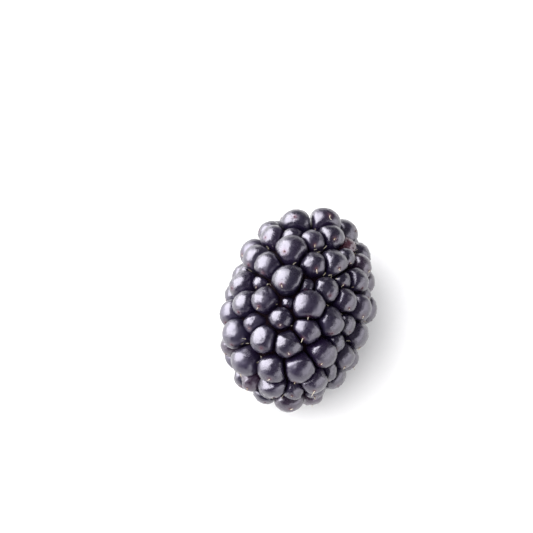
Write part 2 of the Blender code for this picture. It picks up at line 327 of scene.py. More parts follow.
def settle(centres, radii, placed):
    """Pushes overlapping neighbours apart along the seat, and off the bared stem end."""
    count = len(radii)
    reach = (radii[:, None] + radii[None, :]) * PRESSING
    bare = RECEPTACLE_END_RADIUS + CLEARANCE + radii
    loose = np.where(placed, 0.0, 1.0)
    for _ in range(SETTLE_ROUNDS):
        apart = centres[:, None] - centres[None, :]
        distance = np.linalg.norm(apart, axis=2) + np.eye(count)
        overlap = np.clip(reach - distance, 0, None) * (1 - np.eye(count))
        push = (apart / distance[:, :, None] * overlap[:, :, None]).sum(axis=1)
        centres = onto_seat(centres + SETTLE_STEP * push * loose[:, None])
        from_axis = np.hypot(centres[:, 0], centres[:, 2])
        on_stem_end = (centres[:, 1] > 0) & (from_axis < bare)
        widen = np.where(on_stem_end, bare / from_axis, 1.0)
        centres = onto_seat(centres * np.stack([widen, np.ones(count), widen], axis=1))
    return centres


def room_left(centres, radii, placed):
    """Each free drupelet's distance to its closest neighbour, in their touching radii."""
    apart = np.linalg.norm(centres[:, None] - centres[None, :], axis=2)
    room = apart / (radii[:, None] + radii[None, :])
    np.fill_diagonal(room, np.inf)
    return np.where(placed, np.inf, room.min(axis=1))


def emptiest_place(centres, radii):
    """The point of the seat that is farthest from every drupelet, and how much room it has."""
    places = onto_seat(golden_spiral(PLACES_TRIED) * SEAT_LONG)
    room = (np.linalg.norm(places[:, None] - centres[None, :], axis=2) - radii).min(axis=1)
    from_axis = np.hypot(places[:, 0], places[:, 2])
    room[(places[:, 1] > 0) & (from_axis < BARE_MARGIN + RECEPTACLE_END_RADIUS)] = 0
    best = int(np.argmax(room))
    return places[best], room[best]


def settled_drupelets():
    """Centres, radii, crown and outward directions, and each one's row in PLACED_DRUPELETS or -1."""
    centres, radii = spiral_start()
    row = np.full(len(radii), -1)
    for number, (centre, radius) in enumerate(zip(*placed_side())):
        distance = np.linalg.norm(centres - centre, axis=1) + (row >= 0)
        nearest = int(np.argmin(distance))
        centres[nearest], radii[nearest], row[nearest] = centre, radius, number
    centres = settle(centres, radii, row >= 0)
    while room_left(centres, radii, row >= 0).min() < CROWDED_OUT:
        crowded = int(np.argmin(room_left(centres, radii, row >= 0)))
        others = np.arange(len(radii)) != crowded
        place, room = emptiest_place(centres[others], radii[others])
        centres[crowded], radii[crowded] = place, min(radii[crowded], room + GAP_FILL)
    place, room = emptiest_place(centres, radii)
    while room > WIDEST_GAP:
        centres = np.vstack([centres, place])
        radii, row = np.append(radii, room + GAP_FILL), np.append(row, -1)
        place, room = emptiest_place(centres, radii)
    centres = settle(centres, radii, row >= 0)
    straight_out = outward(centres)
    sink = RUNT_SINK * (DRUPELET_RADIUS - radii).clip(0)
    crowns = straight_out - np.array([0, TIPWARD_LEAN, 0])
    crowns /= np.linalg.norm(crowns, axis=1)[:, None]
    centres = centres - straight_out * sink[:, None] + aside(centres)
    return centres, radii, crowns, straight_out, row

# %% [markdown]
# ## Fitting the rule to the frame
#
# The construction model is centred on its box after its drupelets are fused, so the layout above
# has to be moved by the same amount. The receptacle's end is turned about the berry's axis and
# its rim lies at a known place along it, so its box in the frame gives the berry's axis exactly.

# %% The berry's axis in the frame
plug_low, plug_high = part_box("receptacle_end")
berry_middle = np.array(
    [
        (plug_low.x + plug_high.x) / 2,
        plug_high.y - (SEAT_LONG - RECEPTACLE_END_SINK),
        (plug_low.z + plug_high.z) / 2,
    ]
)
centres, radii, crowns, straight_out, placed_row = settled_drupelets()
centres = centres + berry_middle
centres[:, 2] = np.maximum(centres[:, 2], REST_LEVEL * radii)
print("the berry's middle in mm:", (1000 * berry_middle).round(2))
smallest, largest = (1000 * radii.min()).round(2), (1000 * radii.max()).round(2)
print("drupelets:", len(radii), "radii in mm:", smallest, "to", largest)

# %% [markdown]
# ## What differs from drupelet to drupelet
#
# No two drupelets ripen alike. Each gets a few numbers of its own from a seeded generator: how
# violet it is, how much waxy bloom it carries, how red it still is, how dented it is, how far it
# is pinched into a corner on the side of the stem, and where its style scar lies, the dot that
# the flower's style left behind. The scar sits part of the way from the crown to the berry's tip.
# They are stored on the points, so that both the shape and the material can read them.
# The bloom number is raised on the side towards -X, where the window stands: painted light that makes that
# side paler.

# %% Numbers for each drupelet
CHARACTER_SEED = 21
SCAR_SLOPE = 0.85  # how far the scar lies from the crown towards the tip, as a slope
SCAR_SCATTER = 0.16
LATE_SHARE = 0.12  # drupelets of the lower half that are still a little red
LATE_REDNESS = (0.15, 0.40)
SIDE_PALING_BLOOM = 0.6  # painted light: more pale bloom on the side towards -X, where the window stands, so that side looks lighter
DENTED_SHARE = 0.30
DENT_SCATTER = 0.45
DENT_STRENGTH = (0.3, 1.0)
PINCHED_SHARE = 0.75  # drupelets squeezed into a corner on the side of the stem
PINCH_STRENGTH = (0.4, 1.0)
CORNER_SCATTER = 0.30
LATE_PLACED_DRUPELETS = {2: 0.9, 5: 0.25}  # rows of PLACED_DRUPELETS, and how red they are
TIP_DIRECTION = np.array([0, -1, 0])

character = np.random.default_rng(CHARACTER_SEED)
count = len(radii)
violet = character.random(count)
# The random part is each drupelet's own bloom; the extra on the side towards -X is painted light, a paler
# side where the window stands.
bloom = character.random(count) + SIDE_PALING_BLOOM * np.clip(-straight_out[:, 0] - 0.1, 0, 1)
is_late = character.random(count) < LATE_SHARE
late = np.where(is_late, character.uniform(*LATE_REDNESS, count), 0.0)
late[straight_out[:, 2] > 0] = 0
for row, redness in LATE_PLACED_DRUPELETS.items():
    late[placed_row == row] = redness
along_skin = TIP_DIRECTION - straight_out * (straight_out @ TIP_DIRECTION)[:, None]
scars = straight_out + SCAR_SLOPE * along_skin + character.normal(0, SCAR_SCATTER, (count, 3))
scars /= np.linalg.norm(scars, axis=1)[:, None]
dents = crowns + character.normal(0, DENT_SCATTER, (count, 3))
dents /= np.linalg.norm(dents, axis=1)[:, None]
is_dented = character.random(count) < DENTED_SHARE
dented = np.where(is_dented, character.uniform(*DENT_STRENGTH, count), 0.0)
stemward = -along_skin / np.maximum(np.linalg.norm(along_skin, axis=1), 1e-6)[:, None]
corners = stemward + character.normal(0, CORNER_SCATTER, (count, 3))
corners -= crowns * (corners * crowns).sum(axis=1).clip(0)[:, None]
corners /= np.linalg.norm(corners, axis=1)[:, None]
is_pinched = character.random(count) < PINCHED_SHARE
pinched = np.where(is_pinched, character.uniform(*PINCH_STRENGTH, count), 0.0)
pinched *= np.clip(0.45 - straight_out[:, 1], 0.15, 1.0)  # less of it near the stem
print("late:", int((late > 0).sum()), "dented:", int(is_dented.sum()), "pinched:", int(is_pinched.sum()))


# %% Points that carry them
def seed_points(name, places, **attributes):
    """A mesh of loose points with a number or a vector of each kind on every point."""
    mesh = bpy.data.meshes.new(name)
    mesh.from_pydata([tuple(place) for place in places], [], [])
    for label, values in attributes.items():
        values = np.asarray(values, np.float32)
        kind, field = ("FLOAT", "value") if values.ndim == 1 else ("FLOAT_VECTOR", "vector")
        mesh.attributes.new(label, kind, "POINT").data.foreach_set(field, values.ravel())
    return mesh


drupelet_points = seed_points(
    "drupelet_points",
    centres,
    radius=radii,
    crown=crowns,
    scar=scars,
    dent=dents,
    dented=dented,
    corner=corners,
    pinched=pinched,
    violet=violet,
    bloom=bloom,
    late=late,
)

# %% [markdown]
# ## Running a tree
#
# A Geometry Nodes tree is a recipe with named inputs. It runs as a modifier on the points, and
# its result is then kept as a plain mesh, because what follows wants finished geometry. Inputs
# are set by their identifiers, which stay the same when a socket is renamed.


# %% Trees with named inputs
def new_recipe(name, inputs):
    """An empty Geometry Nodes tree, and the node that brings its inputs in."""
    tree = bpy.data.node_groups.new(name, "GeometryNodeTree")
    face = tree.interface
    face.new_socket(name="Geometry", in_out="INPUT", socket_type="NodeSocketGeometry")
    face.new_socket(name="Geometry", in_out="OUTPUT", socket_type="NodeSocketGeometry")
    for label, kind in inputs.items():
        face.new_socket(name=label, in_out="INPUT", socket_type="NodeSocket" + kind)
    graph = Graph(tree)
    return graph, graph.add("NodeGroupInput")


def grow(name, points, graph, values):
    """Runs a recipe on a mesh of points and returns an object with the result as a plain mesh."""
    piece = bpy.data.objects.new(name, points)
    bpy.context.scene.collection.objects.link(piece)
    modifier = piece.modifiers.new("grow", "NODES")
    modifier.node_group = graph.tree
    for socket in graph.tree.interface.items_tree:
        if socket.in_out == "INPUT" and socket.name in values:
            modifier[socket.identifier] = values[socket.name]
    depsgraph = bpy.context.evaluated_depsgraph_get()
    grown = piece.evaluated_get(depsgraph)
    mesh = bpy.data.meshes.new_from_object(grown, preserve_all_data_layers=True, depsgraph=depsgraph)
    piece.modifiers.clear()
    piece.data = mesh
    mesh.name = name
    print(f"{name}: {len(mesh.polygons)} faces")
    return piece


def named(graph, label, kind="FLOAT"):
    """Reads an attribute of the geometry that the field is used on."""
    return graph.add(
        "GeometryNodeInputNamedAttribute", {"data_type": kind}, {"Name": label}, "Attribute"
    )


def store(graph, geometry, label, value, kind="FLOAT"):
    settings = {"data_type": kind, "domain": "POINT"}
    inputs = {"Geometry": geometry, "Name": label, "Value": value}
    return graph.add("GeometryNodeStoreNamedAttribute", settings, inputs)


def sample(graph, geometry, value, number, kind):
    """The value at one point of another geometry."""
    settings = {"data_type": kind, "domain": "POINT"}
    inputs = {"Geometry": geometry, "Value": value, "Index": number}
    return graph.add("GeometryNodeSampleIndex", settings, inputs)


# %% [markdown]
# ## The drupelets
#
# A drupelet grown alone would be a slightly stretched ball. In the crowd, each neighbour flattens
# it where the two meet, half way between them. One could cut the balls with Booleans, but that
# leaves knife-sharp edges. Here each vertex asks how far it may go in its own direction before it
# reaches the ball's skin or any neighbour's plane, and a power mean rounds the corner between
# them, as a taut skin would. A Repeat zone adds one neighbour's press at a time. The surface
# that the berry lies on presses in the same way. Before any of this, the ball's sides are drawn in
# a little round its corner, and that gives many drupelets the outline of a drop.

# %% The drupelets' recipe
DRUPELET_INPUTS = {
    "Fineness": "Int",
    "Plumpness": "Float",
    "Stretch": "Float",
    "Sharpness": "Float",
    "Slit": "Float",
    "Lumps": "Float",
    "Dent Depth": "Float",
    "Scar Depth": "Float",
    "Corner Pinch": "Float",
    "Skin": "Material",
}
CROWN_CROWDING = 0.35  # moves vertices from the hidden root to the crown
NEIGHBOUR_REACH = 1.6
LUMP_SCALE = 420.0
SCAR_HOLLOW = (0.955, 1.0)  # cosines of the scar's hollow, from its edge to its middle
DENT_HOLLOW = (0.80, 1.0)
CORNER_SIDES = (0.62, 0.42)  # cosines: where a corner's sides are pinched most, and how far that goes

beads, given = new_recipe("pressed_drupelets", DRUPELET_INPUTS)
position = beads.add("GeometryNodeInputPosition")
points = store(beads, given.out("Geometry"), "centre", position, "FLOAT_VECTOR")
crown = named(beads, "crown", "FLOAT_VECTOR")
upright = beads.add("FunctionNodeAlignRotationToVector", {"axis": "Z"}, {"Vector": crown})
ball = beads.add("GeometryNodeMeshIcoSphere", inputs={"Subdivisions": given.out("Fineness")})
placed_balls = beads.add(
    "GeometryNodeInstanceOnPoints", inputs={"Points": points, "Instance": ball, "Rotation": upright}
)
balls = beads.add("GeometryNodeRealizeInstances", inputs={"Geometry": placed_balls})

centre = named(beads, "centre", "FLOAT_VECTOR")
radius = named(beads, "radius")
bearing = ((position - centre).unit() + crown * CROWN_CROWDING).unit()
balls = store(beads, balls, "bearing", bearing, "FLOAT_VECTOR")
bearing = named(beads, "bearing", "FLOAT_VECTOR")
upward = bearing.dot(crown)
stretched = (1 - upward**2 + (upward / given.out("Stretch")) ** 2) ** 0.5
free_reach = given.out("Plumpness") * radius / stretched
off_sides = (bearing.dot(named(beads, "corner", "FLOAT_VECTOR")) - CORNER_SIDES[0]) / CORNER_SIDES[1]
pinch = 1 - off_sides * off_sides
pinch = pinch.math("MAXIMUM", pinch, 0.0) * named(beads, "pinched")
free_reach = free_reach * (1 - pinch * given.out("Corner Pinch"))
downward = bearing.dot((0, 0, -1)).math("MAXIMUM", bearing.dot((0, 0, -1)), 0.0)
height = centre.dot((0, 0, 1))
shortness = free_reach ** (0 - given.out("Sharpness")) + (downward / height) ** given.out("Sharpness")
balls = store(beads, balls, "shortness", shortness)

# %% One neighbour at a time
turn_in = beads.add("GeometryNodeRepeatInput")
turn_out = beads.add("GeometryNodeRepeatOutput")
turn_in.node.pair_with_output(turn_out.node)
size = beads.add("GeometryNodeAttributeDomainSize", {"component": "MESH"}, {"Geometry": points})
beads.feed(turn_in.node, {"Iterations": size.out("Point Count"), "Geometry": balls})
number = turn_in.out("Iteration")
its_centre = sample(beads, points, position, number, "FLOAT_VECTOR")
its_radius = sample(beads, points, radius, number, "FLOAT")
offset = its_centre - centre
gap = offset.length()
plane = gap * radius / (radius + its_radius) - given.out("Slit")
facing = (bearing.dot(offset) / gap).math("MAXIMUM", bearing.dot(offset) / gap, 0.0)
is_other = gap.math("GREATER_THAN", gap, 1e-6)
is_near = gap.math("LESS_THAN", gap, NEIGHBOUR_REACH * (radius + its_radius))
press = (facing / plane) ** given.out("Sharpness") * is_other * is_near
pressed = store(beads, turn_in.out("Geometry"), "shortness", named(beads, "shortness") + press)
beads.feed(turn_out.node, {"Geometry": pressed})

# %% From directions to skin
skin_noise = beads.add(
    "ShaderNodeTexNoise",
    inputs={"Vector": (position + centre * 3.0) * LUMP_SCALE, "Detail": 1.0, "Scale": 1.0},
)
at_scar = bearing.dot(named(beads, "scar", "FLOAT_VECTOR")).smooth(*SCAR_HOLLOW)
at_dent = bearing.dot(named(beads, "dent", "FLOAT_VECTOR")).smooth(*DENT_HOLLOW)
reach = named(beads, "shortness") ** (-1 / given.out("Sharpness"))
reach = reach + given.out("Lumps") * (skin_noise - 0.5)
reach = reach - given.out("Scar Depth") * at_scar
reach = reach - given.out("Dent Depth") * at_dent * named(beads, "dented")
skin_point = centre + bearing * reach
above_surface = skin_point.vector_math("MAXIMUM", skin_point, (-1.0, -1.0, 0.0))
swollen = beads.add(
    "GeometryNodeSetPosition", inputs={"Geometry": turn_out.out("Geometry"), "Position": above_surface}
)
from_scar = bearing - named(beads, "scar", "FLOAT_VECTOR")
marked = store(beads, swollen, "from_scar", from_scar, "FLOAT_VECTOR")
FROM_POINTS = ("centre", "radius", "crown", "scar", "dent", "dented", "corner", "pinched")
for spent in ("bearing", "shortness", *FROM_POINTS):
    marked = beads.add("GeometryNodeRemoveAttribute", inputs={"Geometry": marked, "Name": spent})
smooth = beads.add("GeometryNodeSetShadeSmooth", inputs={"Geometry": marked})
skinned = beads.add(
    "GeometryNodeSetMaterial", inputs={"Geometry": smooth, "Material": given.out("Skin")}
)
beads.add("NodeGroupOutput", inputs={"Geometry": skinned})

# %% [markdown]
# ## The drupelets' skin
#
# A ripe drupelet looks black, but its skin is a deep violet over dark red juice, and a thin layer
# of wax, the bloom, lies over it in worn patches that scatter a little blue-grey light. Its gloss
# is satin: sharp enough to show a window, soft enough to blur it. A coat over a rougher base gives
# both. The fine wrinkles come from noise through a Bump node, at a tenth of a millimetre, and the
# style scar is drawn around the direction that the shape recipe stored, so that it follows each
# drupelet wherever it sits.

# %% A material and how it ends
def new_material(name):
    material = bpy.data.materials.new(name)
    material.use_nodes = True
    return material, Graph(material.node_tree)


def noise(graph, coordinates, scale, detail=3.0, roughness=0.5):
    inputs = {"Vector": coordinates, "Scale": scale, "Detail": detail, "Roughness": roughness}
    return graph.add("ShaderNodeTexNoise", inputs=inputs)


def attribute(graph, name, output="Fac"):
    return graph.add("ShaderNodeAttribute", {"attribute_name": name}, output=output)


def bump(graph, height, distance, strength=1.0):
    inputs = {"Height": height, "Distance": distance, "Strength": strength}
    return graph.add("ShaderNodeBump", inputs=inputs)


def surface(graph, sockets):
    """Ends a material in one Principled surface."""
    shader = graph.add("ShaderNodeBsdfPrincipled", inputs=sockets)
    graph.add("ShaderNodeOutputMaterial", inputs={"Surface": shader})


# %% Ripe skin
RIPE_BLACK = (0.0066, 0.0042, 0.0175, 1)
RIPE_VIOLET = (0.0105, 0.0052, 0.0225, 1)
LATE_RED = (0.060, 0.014, 0.026, 1)
BLOOM_GREY = (0.058, 0.050, 0.105, 1)
SCAR_RIM = (0.075, 0.012, 0.034, 1)
SCAR_MIDDLE = (0.014, 0.003, 0.007, 1)
SCAR_BLUSH = (0.034, 0.008, 0.022, 1)
SCAR_SIZE = 0.060  # the dark dot's radius, as a share of the drupelet's own reach

skin, paint = new_material("drupelet_skin")
place = paint.add("ShaderNodeTexCoord", output="Object")
cloudy = noise(paint, place, 620.0, 4.0, 0.6)
creases = noise(paint, place, 1700.0, 3.0, 0.6)
wrinkles = noise(paint, place, 5200.0, 3.0, 0.65)
pores = noise(paint, place, 14000.0, 2.0, 0.5)
bloom_here = attribute(paint, "bloom")
late_here = attribute(paint, "late")
from_scar = attribute(paint, "from_scar", "Vector").length() + (noise(paint, place, 3000.0) - 0.5) * 0.05
colour = attribute(paint, "violet").mix(RIPE_BLACK, RIPE_VIOLET)
colour = (late_here * (0.45 + cloudy * 1.1)).smooth(0.0, 1.0).mix(colour, LATE_RED)
# Paler blue-grey wax: real bloom in random patches, plus painted light on the window's side, where the
# bloom number is raised.
wax_and_side_paling = (cloudy + (bloom_here - 0.5) * 0.16).smooth(0.44, 0.74) * (0.08 + bloom_here * 0.08)
colour = wax_and_side_paling.mix(colour, BLOOM_GREY)
blush = (1 - from_scar.smooth(SCAR_SIZE * 1.6, SCAR_SIZE * 5.5)) * 0.55
colour = blush.mix(colour, SCAR_BLUSH)
rim = (1 - from_scar.smooth(SCAR_SIZE * 1.1, SCAR_SIZE * 2.2)) * 0.85
colour = rim.mix(colour, SCAR_RIM)
dot = 1 - from_scar.smooth(SCAR_SIZE * 0.55, SCAR_SIZE * 1.15)
colour = dot.mix(colour, SCAR_MIDDLE)
relief = creases * 1.5 + wrinkles * 1.2 + pores * 0.15 + rim * 0.5 - dot * 1.4
surface(
    paint,
    {
        "Base Color": colour,
        "Roughness": 0.28 + wax_and_side_paling * 0.5 + (wrinkles - 0.5) * 0.20 + rim * 0.25,
        "IOR": 1.56,
        "Specular IOR Level": 0.85,
        "Specular Tint": (0.95, 0.91, 1.0, 1),
        "Coat Weight": 0.30 - wax_and_side_paling * 0.5 - rim * 0.2,
        "Coat Roughness": 0.15,
        "Normal": bump(paint, relief, 0.000030, 0.8),
    },
)

# %% Grow the drupelets
drupelets = grow(
    "drupelets_skin",
    drupelet_points,
    beads,
    {
        "Fineness": 4,
        "Plumpness": PLUMPNESS,
        "Stretch": DRUPELET_STRETCH,
        "Sharpness": PRESS_SHARPNESS,
        "Slit": 0.00012,
        "Lumps": 0.00026,
        "Dent Depth": 0.00015,
        "Scar Depth": 0.00006,
        "Corner Pinch": 0.18,
        "Skin": skin,
    },
)
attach(drupelets, "root")

# %% [markdown]
# ## The bed under the drupelets
#
# Between the drupelets one looks down onto the receptacle's skin, wet with juice and in deep
# shade. Its near-black colour is partly the juice's stain and partly painted shade. It is a closed
# shell on the same seat, a little below the drupelets' middles. An icosphere pulled onto the seat
# is enough for it, because only slivers of it ever show.

# %% Bed
BED_DEPTH = 0.00045
BED_ROUGHNESS = 0.00010
BED_LOWEST = 0.0006
BED_BEHIND_END = 0.0016  # how far the bed stays behind the bared end's face
BED_SEED = 5

# Painted shade: near black, far darker than the pale receptacle at the stem end, partly the juice's stain
# and partly the deep shade between the drupelets.
STAIN_AND_SHADE_DARK = (0.0032, 0.0014, 0.0030, 1)
STAIN_AND_SHADE_LIGHT = (0.0100, 0.0034, 0.0060, 1)

juice_and_shade, paint = new_material("receptacle_bed")
place = paint.add("ShaderNodeTexCoord", output="Object")
fibres = noise(paint, place, 2600.0, 4.0)
surface(
    paint,
    {
        "Base Color": fibres.smooth(0.35, 0.7).mix(STAIN_AND_SHADE_DARK, STAIN_AND_SHADE_LIGHT),
        "Roughness": 0.75 + fibres * 0.2,
        "Specular IOR Level": 0.05,
        "Normal": bump(paint, fibres, 0.00005),
    },
)


def finish_piece(name, bm, material):
    """Makes an object of a bmesh, smooth and riding with the berry."""
    mesh = bpy.data.meshes.new(name)
    bmesh.ops.recalc_face_normals(bm, faces=bm.faces)
    bm.to_mesh(mesh)
    bm.free()
    mesh.shade_smooth()
    mesh.materials.append(material)
    piece = bpy.data.objects.new(name, mesh)
    bpy.context.scene.collection.objects.link(piece)
    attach(piece, "root")
    print(f"{name}: {len(mesh.polygons)} faces")
    return piece


bm = bmesh.new()
bmesh.ops.create_icosphere(bm, subdivisions=5, radius=1.0)
directions = np.array([vertex.co for vertex in bm.verts])
bed_points = onto_seat(directions * SEAT_LONG, -BED_DEPTH)
uneven = np.random.default_rng(BED_SEED).normal(0, BED_ROUGHNESS, len(bed_points))
bed_points += directions * uneven[:, None]
bed_points += berry_middle + aside(bed_points)
bed_points[:, 1] = np.minimum(bed_points[:, 1], plug_high.y - BED_BEHIND_END)
bed_points[:, 2] = np.maximum(bed_points[:, 2], BED_LOWEST)
for vertex, point in zip(bm.verts, bed_points):
    vertex.co = point
finish_piece("receptacle_bed", bm, juice_and_shade)
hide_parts("drupelets")

# %% [markdown]
# ## The bared end of the receptacle
#
# Where the berry came off its calyx, the pale receptacle shows: a fibrous disc with a torn pit in
# its middle, shallow ribs where the bundles of fibres run out to the drupelets, and a rim that is
# stained by their juice. It is one grid of rings and spokes whose height is a formula, closed by
# a wall that goes down among the drupelets. A sculpted mesh would do too, but a formula can be
# read and changed.

# %% Its sizes
END_RADIUS = plug_high.x - (plug_low.x + plug_high.x) / 2
END_FACE = plug_high.y
END_SPOKES = 120
END_RINGS = 34
END_WALL_RINGS = 8
END_DEPTH = plug_high.y - plug_low.y
PIT_SHARE = 0.26
PIT_DEPTH = 0.0011
RIB_HEIGHT = 0.00016
RIM_ROLL = 0.00035
RAGGED_SEED = 9
RAGGED_REACH = 1.6  # the waves' usual sum
RIB_COUNTS = (3, 5, 9, 17, 29)
ragged = np.random.default_rng(RAGGED_SEED)
rib_turns = ragged.uniform(0, 2 * math.pi, len(RIB_COUNTS))


def ragged_edge(turn):
    """An uneven wave round the disc, between about -1 and 1."""
    height = 0.0
    for number, (many, start) in enumerate(zip(RIB_COUNTS, rib_turns)):
        height += math.sin(many * turn + start) / (1 + number)
    return height / RAGGED_REACH


def end_height(share, turn):
    """How far the face lies below its highest level, at a share of the radius."""
    pit = PIT_DEPTH * (1 - min(1.0, share / PIT_SHARE) ** 2.2)
    torn = 0.00022 * math.sin(11 * turn + rib_turns[1]) * max(0.0, 1 - abs(share - PIT_SHARE) / 0.16)
    ribs = RIB_HEIGHT * math.sin(24 * turn + 3 * share + rib_turns[2]) * math.sin(math.pi * share) ** 0.6
    rim = RIM_ROLL * max(0.0, (share - 0.82) / 0.18) ** 2
    return pit + torn + ribs + rim + RIB_HEIGHT * 1.5


# %% Its flesh
flesh, paint = new_material("receptacle_flesh")
place = paint.add("ShaderNodeTexCoord", output="Object")
settled = place - tuple(berry_middle)
split = paint.add("ShaderNodeSeparateXYZ", inputs={0: settled})
from_axis = (split.out("X") ** 2 + split.out("Z") ** 2) ** 0.5 / END_RADIUS
turn = paint.add("ShaderNodeMath", {"operation": "ARCTAN2"}, {0: split.out("Z"), 1: split.out("X")})
spokes = paint.add(
    "ShaderNodeCombineXYZ", inputs={"X": turn * 9.0, "Y": from_axis * 2.5, "Z": split.out("Y") * 400.0}
)
threads = noise(paint, spokes, 2.2, 4.0, 0.6)
mottle = noise(paint, place, 900.0, 4.0)
grains = noise(paint, place, 7000.0, 3.0)
colour = mottle.smooth(0.35, 0.65).mix((0.62, 0.64, 0.36, 1), (0.80, 0.76, 0.56, 1))
colour = (threads.smooth(0.50, 0.72) * 0.55).mix(colour, (0.46, 0.43, 0.20, 1))
colour = ((1 - from_axis.smooth(0.10, 0.34)) * 0.55).mix(colour, (0.30, 0.24, 0.11, 1))
stain = (from_axis + (mottle - 0.5) * 0.9).smooth(0.72, 1.08)
colour = (stain * 0.80).mix(colour, (0.20, 0.022, 0.060, 1))
surface(
    paint,
    {
        "Base Color": colour,
        "Roughness": 0.62 - stain * 0.22,
        "Subsurface Weight": 0.15,
        "Subsurface Radius": (0.8, 0.6, 0.3),
        "Subsurface Scale": 0.0008,
        "Normal": bump(paint, threads * 0.7 + grains * 0.3, 0.00010),
    },
)

# %% Its shape
bm = bmesh.new()
rows = []
for ring in range(1, END_RINGS + END_WALL_RINGS + 1):
    row = []
    for spoke in range(END_SPOKES):
        turn = 2 * math.pi * spoke / END_SPOKES
        share = min(1.0, ring / END_RINGS)
        down = (END_DEPTH - 0.0004) * max(0, ring - END_RINGS) / END_WALL_RINGS
        wide = END_RADIUS * (share ** 0.9) * (1 + 0.035 * ragged_edge(turn) * share)
        y = END_FACE - end_height(share, turn) - down
        x = berry_middle[0] + wide * math.sin(turn)
        row.append(bm.verts.new((x, y, berry_middle[2] + wide * math.cos(turn))))
    rows.append(row)
middle = bm.verts.new((berry_middle[0], END_FACE - end_height(0.0, 0.0), berry_middle[2]))
bottom = bm.verts.new((berry_middle[0], plug_low.y, berry_middle[2]))
for spoke in range(END_SPOKES):
    after = (spoke + 1) % END_SPOKES
    bm.faces.new((middle, rows[0][spoke], rows[0][after]))
    bm.faces.new((bottom, rows[-1][after], rows[-1][spoke]))
    for inner, outer in zip(rows, rows[1:]):
        bm.faces.new((inner[spoke], outer[spoke], outer[after], inner[after]))
receptacle_end = finish_piece("receptacle_end_face", bm, flesh)
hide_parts("receptacle_end")

# %% [markdown]
# ## Scars, withered styles and hairs
#
# Every drupelet once carried a style, the thread that caught its pollen. Many have dropped and
# left a small raised dot at the scar. The rest hang on as pale dry stubs and short curled threads.
# A few hairs of the receptacle also show in the gaps. All three repeat over the berry, so
# Geometry Nodes place them: a few faces for each dot, and a bent curve given thickness for each
# thread. Where a scar lies is found by casting a ray from its drupelet's middle onto the finished
# skin. The hairs root on the seat, wherever the drupelets leave it bare.
# Their pale, near-white flecks are partly the dry threads' own colour and partly painted glints, standing
# in for small bright specks of light in the gaps.

# %% Where the scars lie on the skin
skin_tree = BVHTree.FromObject(drupelets, bpy.context.evaluated_depsgraph_get())
scar_points, scar_normals = [], []
for centre, scar in zip(centres, scars):
    hit, normal, _, _ = skin_tree.ray_cast(Vector(centre), Vector(scar))
    scar_points.append(hit)
    scar_normals.append(normal)
scar_points, scar_normals = np.array(scar_points), np.array(scar_normals)
print("scars found:", len(scar_points))

# %% The dots' recipe
dots, given = new_recipe(
    "scar_dots", {"Width": "Float", "Height": "Float", "Variation": "Float", "Finish": "Material"}
)
facing = named(dots, "facing", "FLOAT_VECTOR")
upright = dots.add("FunctionNodeAlignRotationToVector", {"axis": "Z"}, {"Vector": facing})
dome = dots.add("GeometryNodeMeshUVSphere", inputs={"Segments": 9, "Rings": 5, "Radius": 1.0})
flatter = dots.add(
    "ShaderNodeCombineXYZ",
    inputs={"X": given.out("Width"), "Y": given.out("Width"), "Z": given.out("Height")},
)
dome = dots.add("GeometryNodeTransform", inputs={"Geometry": dome, "Scale": flatter})
random_number = 1  # the node's outputs share a name, and this is the plain number
random_size = dots.add("FunctionNodeRandomValue", {"data_type": "FLOAT"}, {"Seed": 4}, random_number)
random_size = 1 + (random_size - 0.5) * given.out("Variation")
placed = dots.add(
    "GeometryNodeInstanceOnPoints",
    inputs={"Points": given.out("Geometry"), "Instance": dome, "Rotation": upright, "Scale": random_size},
)
real = dots.add("GeometryNodeRealizeInstances", inputs={"Geometry": placed})
real = dots.add("GeometryNodeSetShadeSmooth", inputs={"Geometry": real})
finished = {"Geometry": real, "Material": given.out("Finish")}
real = dots.add("GeometryNodeSetMaterial", inputs=finished)
dots.add("NodeGroupOutput", inputs={"Geometry": real})

# %% The threads' recipe
threads, given = new_recipe(
    "withered_styles",
    {
        "Length": "Float",
        "Thickness": "Float",
        "Curl": "Float",
        "Lowest": "Vector",
        "Highest": "Vector",
        "Finish": "Material",
    },
)
lengthwise = named(threads, "length")
facing = named(threads, "facing", "FLOAT_VECTOR")
upright = threads.add("FunctionNodeAlignRotationToVector", {"axis": "Z"}, {"Vector": facing})
line = threads.add("GeometryNodeCurvePrimitiveLine", inputs={"End": (0.0, 0.0, 1.0)})
line = threads.add("GeometryNodeResampleCurve", inputs={"Curve": line, "Count": 12})
placed = threads.add(
    "GeometryNodeInstanceOnPoints",
    inputs={
        "Points": given.out("Geometry"),
        "Instance": line,
        "Rotation": upright,
        "Scale": lengthwise * given.out("Length"),
    },
)
strands = threads.add("GeometryNodeRealizeInstances", inputs={"Geometry": placed})
along = threads.add("GeometryNodeSplineParameter", output="Factor")
position = threads.add("GeometryNodeInputPosition")
wander = noise(threads, position, 650.0, 1.0).node.outputs["Color"]
wander = Wire(threads, wander) - (0.5, 0.5, 0.5)
curled = position + wander * (along**1.3 * given.out("Curl"))
curled = curled.vector_math("MAXIMUM", curled, given.out("Lowest"))
curled = curled.vector_math("MINIMUM", curled, given.out("Highest"))
strands = threads.add("GeometryNodeSetPosition", inputs={"Geometry": strands, "Position": curled})
taper = given.out("Thickness") * (1 - along**2 * 0.55)
profile = threads.add("GeometryNodeCurvePrimitiveCircle", inputs={"Resolution": 6, "Radius": 0.5})
tubes = threads.add(
    "GeometryNodeCurveToMesh",
    inputs={"Curve": strands, "Profile Curve": profile, "Scale": taper, "Fill Caps": True},
)
tubes = threads.add("GeometryNodeSetShadeSmooth", inputs={"Geometry": tubes})
finished = {"Geometry": tubes, "Material": given.out("Finish")}
tubes = threads.add("GeometryNodeSetMaterial", inputs=finished)
